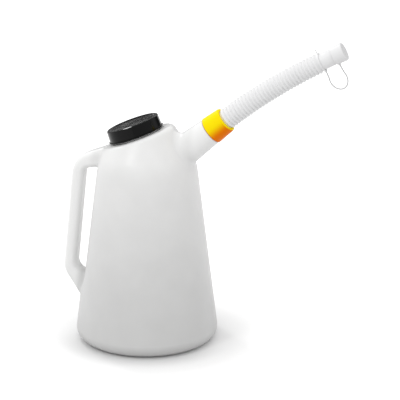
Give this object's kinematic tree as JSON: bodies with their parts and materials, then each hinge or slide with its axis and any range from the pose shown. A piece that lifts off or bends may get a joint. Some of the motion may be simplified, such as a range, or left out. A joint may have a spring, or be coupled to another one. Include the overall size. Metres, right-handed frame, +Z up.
{
  "type": "measuring jug",
  "caption": "Tapered moulded pouring jug with a hollow back handle, a tilted screw lid and a capped, bendable ribbed spout held by a screw collar.",
  "frame": {"origin": "centre of the standing ring, on the floor, on the jug's axis", "axes": "+Z up along the jug's axis, +X towards the spout, the handle at -X, the far side at +Y"},
  "size_m": [0.3879, 0.1932, 0.4232],
  "materials": {
    "natural_plastic": "natural translucent polyethylene, satin",
    "black_plastic": "black, semi-gloss",
    "yellow_plastic": "yellow, gloss",
    "white_plastic": "natural white polyethylene, satin",
    "seal_rubber": "black, dull"
  },
  "bodies": {
    "jug": {"jug_body": "natural_plastic", "jug_handle": "natural_plastic", "jug_snout": "natural_plastic"},
    "lid_carrier": {"lid_seal": "seal_rubber"},
    "lid": {"lid": "black_plastic"},
    "spout_carrier": {"spout_seal": "seal_rubber"},
    "collar": {"spout_collar": "yellow_plastic"},
    "spout": {"spout": "white_plastic"},
    "spout_tip": {"tether_ring": "white_plastic", "cap_tether": "white_plastic"},
    "tip_cap": {"tip_cap": "white_plastic"}
  },
  "joints": [
    {"name": "lid_rise", "type": "slide", "parent": "jug", "child": "lid_carrier", "axis": [-0.3453, 0, 0.9385], "range_m": [0, 0.012]},
    {"name": "lid_turn", "type": "hinge", "parent": "lid_carrier", "child": "lid", "pos_m": [-0.0119, 0, 0.2825], "axis": [-0.3453, 0, 0.9385], "range_deg": [0, 721]},
    {"name": "spout_rise", "type": "slide", "parent": "jug", "child": "spout_carrier", "axis": [0.7749, 0, 0.632], "range_m": [0, 0.018]},
    {"name": "collar_turn", "type": "hinge", "parent": "spout_carrier", "child": "collar", "pos_m": [0.062, 0, 0.2731], "axis": [0.7749, 0, 0.632], "range_deg": [0, 1441]},
    {"name": "spout_swivel", "type": "hinge", "parent": "spout_carrier", "child": "spout", "pos_m": [0.062, 0, 0.2731], "axis": [0.7749, 0, 0.632], "range_deg": [-180, 180]},
    {"name": "spout_bend", "type": "hinge", "parent": "spout", "child": "spout_tip", "pos_m": [0.16834, 0, 0.35983], "axis": [0, -1, 0], "range_deg": [-60, 60], "stiffness_Nm_per_rad": 0.3, "deforming": ["spout"]},
    {"name": "cap_pull", "type": "slide", "parent": "spout_tip", "child": "tip_cap", "axis": [0.8796, 0, 0.4756], "range_m": [0, 0.03], "deforming": ["cap_tether"]}
  ],
  "couplings": [
    {"joint": "lid_turn", "follows": "lid_rise", "rad_per_m": 1047.2},
    {"joint": "collar_turn", "follows": "spout_rise", "rad_per_m": 1396.3}
  ]
}
